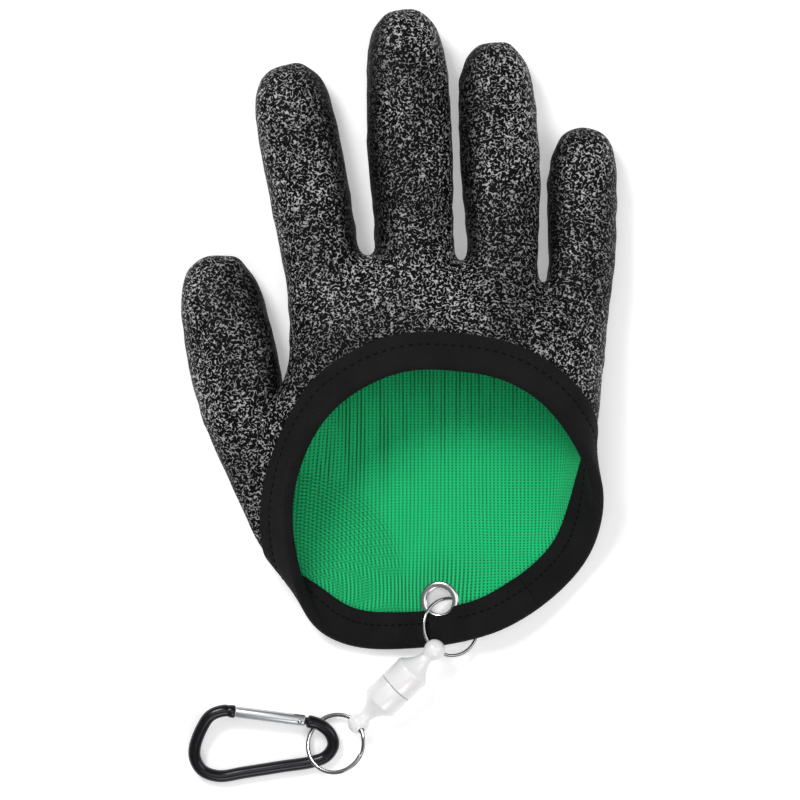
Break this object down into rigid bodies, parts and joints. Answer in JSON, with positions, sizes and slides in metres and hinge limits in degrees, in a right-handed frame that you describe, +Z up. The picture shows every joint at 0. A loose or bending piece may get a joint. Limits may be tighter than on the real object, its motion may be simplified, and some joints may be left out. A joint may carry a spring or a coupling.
{
  "type": "fishing glove with release clip",
  "caption": "Rubber-coated knitted fishing glove for the right hand, lying palm down with its mouth open, with a magnetic release clip and snap hook ringed to its rim.",
  "frame": {"origin": "on the floor, under the middle of the bounding box of the whole part", "axes": "+Y is the way the middle finger points, +X is towards the little finger, +Z is up from the floor that the palm lies on"},
  "size_m": [0.1478, 0.2638, 0.0381],
  "materials": {
    "coating": "crinkled, satin",
    "knit": "matt knit",
    "tape": "ribbed tape",
    "eyelet_steel": "polished",
    "ring_steel": "polished",
    "clip_plastic": "gloss",
    "split_steel": "polished",
    "hook_black": "satin",
    "gate_aluminium": "satin",
    "pin_steel": "satin"
  },
  "bodies": {
    "glove": {"latex_coating": "coating", "knit_liner": "knit", "rim_binding": "tape", "eyelet": "eyelet_steel", "glove_ring": "ring_steel", "clip_upper": "clip_plastic"},
    "hanger": {"clip_lower": "clip_plastic", "split_ring": "split_steel", "hook_frame": "hook_black", "gate_pin": "pin_steel"},
    "gate": {"hook_gate": "gate_aluminium"}
  },
  "joints": [
    {"name": "magnet_release", "type": "slide", "parent": "glove", "child": "hanger", "axis": [-0.7145, -0.6997, 0], "range_m": [0, 0.02]},
    {"name": "gate_hinge", "type": "hinge", "parent": "hanger", "child": "gate", "pos_m": [-0.03392, -0.11038, 0.00474], "axis": [0.0272, -0.1715, 0.9848], "range_deg": [0, 30], "stiffness_Nm_per_rad": 0.01, "springref_deg": -8.59}
  ]
}
